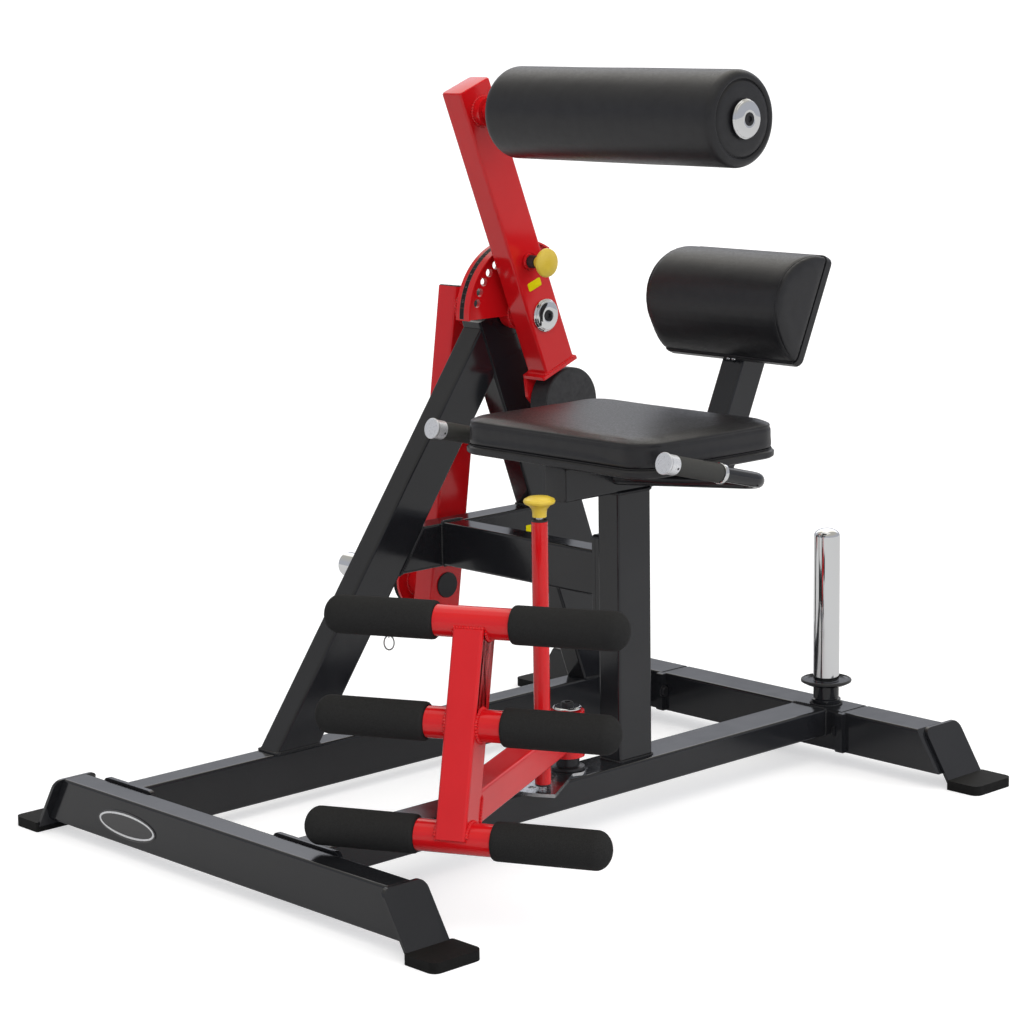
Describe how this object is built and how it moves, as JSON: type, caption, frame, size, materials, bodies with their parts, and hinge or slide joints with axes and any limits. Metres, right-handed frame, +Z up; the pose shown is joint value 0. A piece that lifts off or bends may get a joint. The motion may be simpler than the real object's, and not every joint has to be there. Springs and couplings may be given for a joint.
{
  "type": "ab and back machine",
  "caption": "Plate-loaded strength machine with a seat, back pad, swinging chest roller arm, adjustable footrest with foam rollers and weight horns.",
  "frame": {"origin": "floor level, below the centre of the bounding box", "axes": "+Z up, -Y towards the footrest (the way the user faces), +X towards the free side of the machine, away from the A-frame"},
  "size_m": [1.311, 1.377, 1.2749],
  "materials": {
    "black_paint": "satin black powder coat",
    "red_paint": "gloss red powder coat",
    "vinyl": "fine grained black vinyl over foam",
    "foam": "matte closed-cell foam",
    "shoe_rubber": "matte moulded rubber",
    "chrome": "polished",
    "bright_steel": "satin",
    "zinc": "zinc plated",
    "cast_weight": "dark painted",
    "yellow_knob": "moulded plastic"
  },
  "bodies": {
    "frame": {"front_crossmember": "black_paint", "rear_foot_bar_left": "black_paint", "rear_crossmember": "black_paint", "rear_foot_bar_right": "black_paint", "left_rail": "black_paint", "right_rail": "black_paint", "foot_plate_front_left": "black_paint", "foot_plate_front_right": "black_paint", "foot_plate_rear_left": "black_paint", "foot_plate_rear_right": "black_paint", "rubber_foot_front_left": "shoe_rubber", "rubber_foot_front_right": "shoe_rubber", "rubber_foot_rear_left": "shoe_rubber", "rubber_foot_rear_right": "shoe_rubber", "a_frame_front_leg": "black_paint", "a_frame_rear_leg": "black_paint", "side_brace": "black_paint", "cross_brace": "black_paint", "bearing_housing": "black_paint", "seat_post": "black_paint", "seat_tube": "black_paint", "back_support_tube": "black_paint", "seat_board": "vinyl", "seat_cushion": "vinyl", "back_board": "vinyl", "back_cushion": "vinyl", "handle_tube_right": "black_paint", "handle_tube_left": "black_paint", "handle_grip_right": "foam", "handle_grip_left": "foam", "handle_cap_right": "bright_steel", "handle_cap_left": "bright_steel", "storage_horn_base": "black_paint", "storage_horn": "chrome", "index_plate": "zinc", "footrest_spindle": "black_paint", "footrest_washer": "chrome"},
    "lever": {"weight_lever": "red_paint", "horn_flange": "red_paint", "plate_horn": "chrome", "index_sector": "red_paint", "pivot_shaft": "bright_steel"},
    "arm": {"exercise_arm": "red_paint", "arm_washer": "chrome", "counterweight": "cast_weight", "pad_axle": "red_paint", "pad_washer": "chrome", "pop_pin_housing": "black_paint"},
    "pad": {"roller_pad": "vinyl"},
    "pop_pin": {"pop_pin": "bright_steel", "pop_pin_knob": "yellow_knob"},
    "footrest": {"footrest_frame": "red_paint", "foam_roller_low_right": "foam", "foam_roller_low_left": "foam", "foam_roller_middle_right": "foam", "foam_roller_middle_left": "foam", "foam_roller_top_right": "foam", "foam_roller_top_left": "foam"},
    "index_pin": {"index_pin": "bright_steel", "index_pin_knob": "yellow_knob"}
  },
  "joints": [
    {"name": "weight_lever_swing", "type": "hinge", "parent": "frame", "child": "lever", "pos_m": [0.02353, 0.249, 0.826], "axis": [1, 0, 0], "range_deg": [-45, 30]},
    {"name": "arm_index", "type": "hinge", "parent": "lever", "child": "arm", "pos_m": [0.02353, 0.249, 0.826], "axis": [1, 0, 0], "range_deg": [-44, 33]},
    {"name": "roller_turn", "type": "hinge", "parent": "arm", "child": "pad", "pos_m": [0.02353, 0.10435, 1.19625], "axis": [1, 0, 0], "continuous": true},
    {"name": "pop_pin_pull", "type": "slide", "parent": "arm", "child": "pop_pin", "axis": [1, 0, 0], "range_m": [0, 0.014], "stiffness_N_per_m": 600, "springref_m": -0.012},
    {"name": "footrest_swing", "type": "hinge", "parent": "frame", "child": "footrest", "pos_m": [0.19053, -0.047, 0], "axis": [0, 0, 1], "range_deg": [-54, 0]},
    {"name": "index_pin_pull", "type": "slide", "parent": "footrest", "child": "index_pin", "axis": [0, 0, 1], "range_m": [0, 0.014], "stiffness_N_per_m": 600, "springref_m": -0.015}
  ]
}
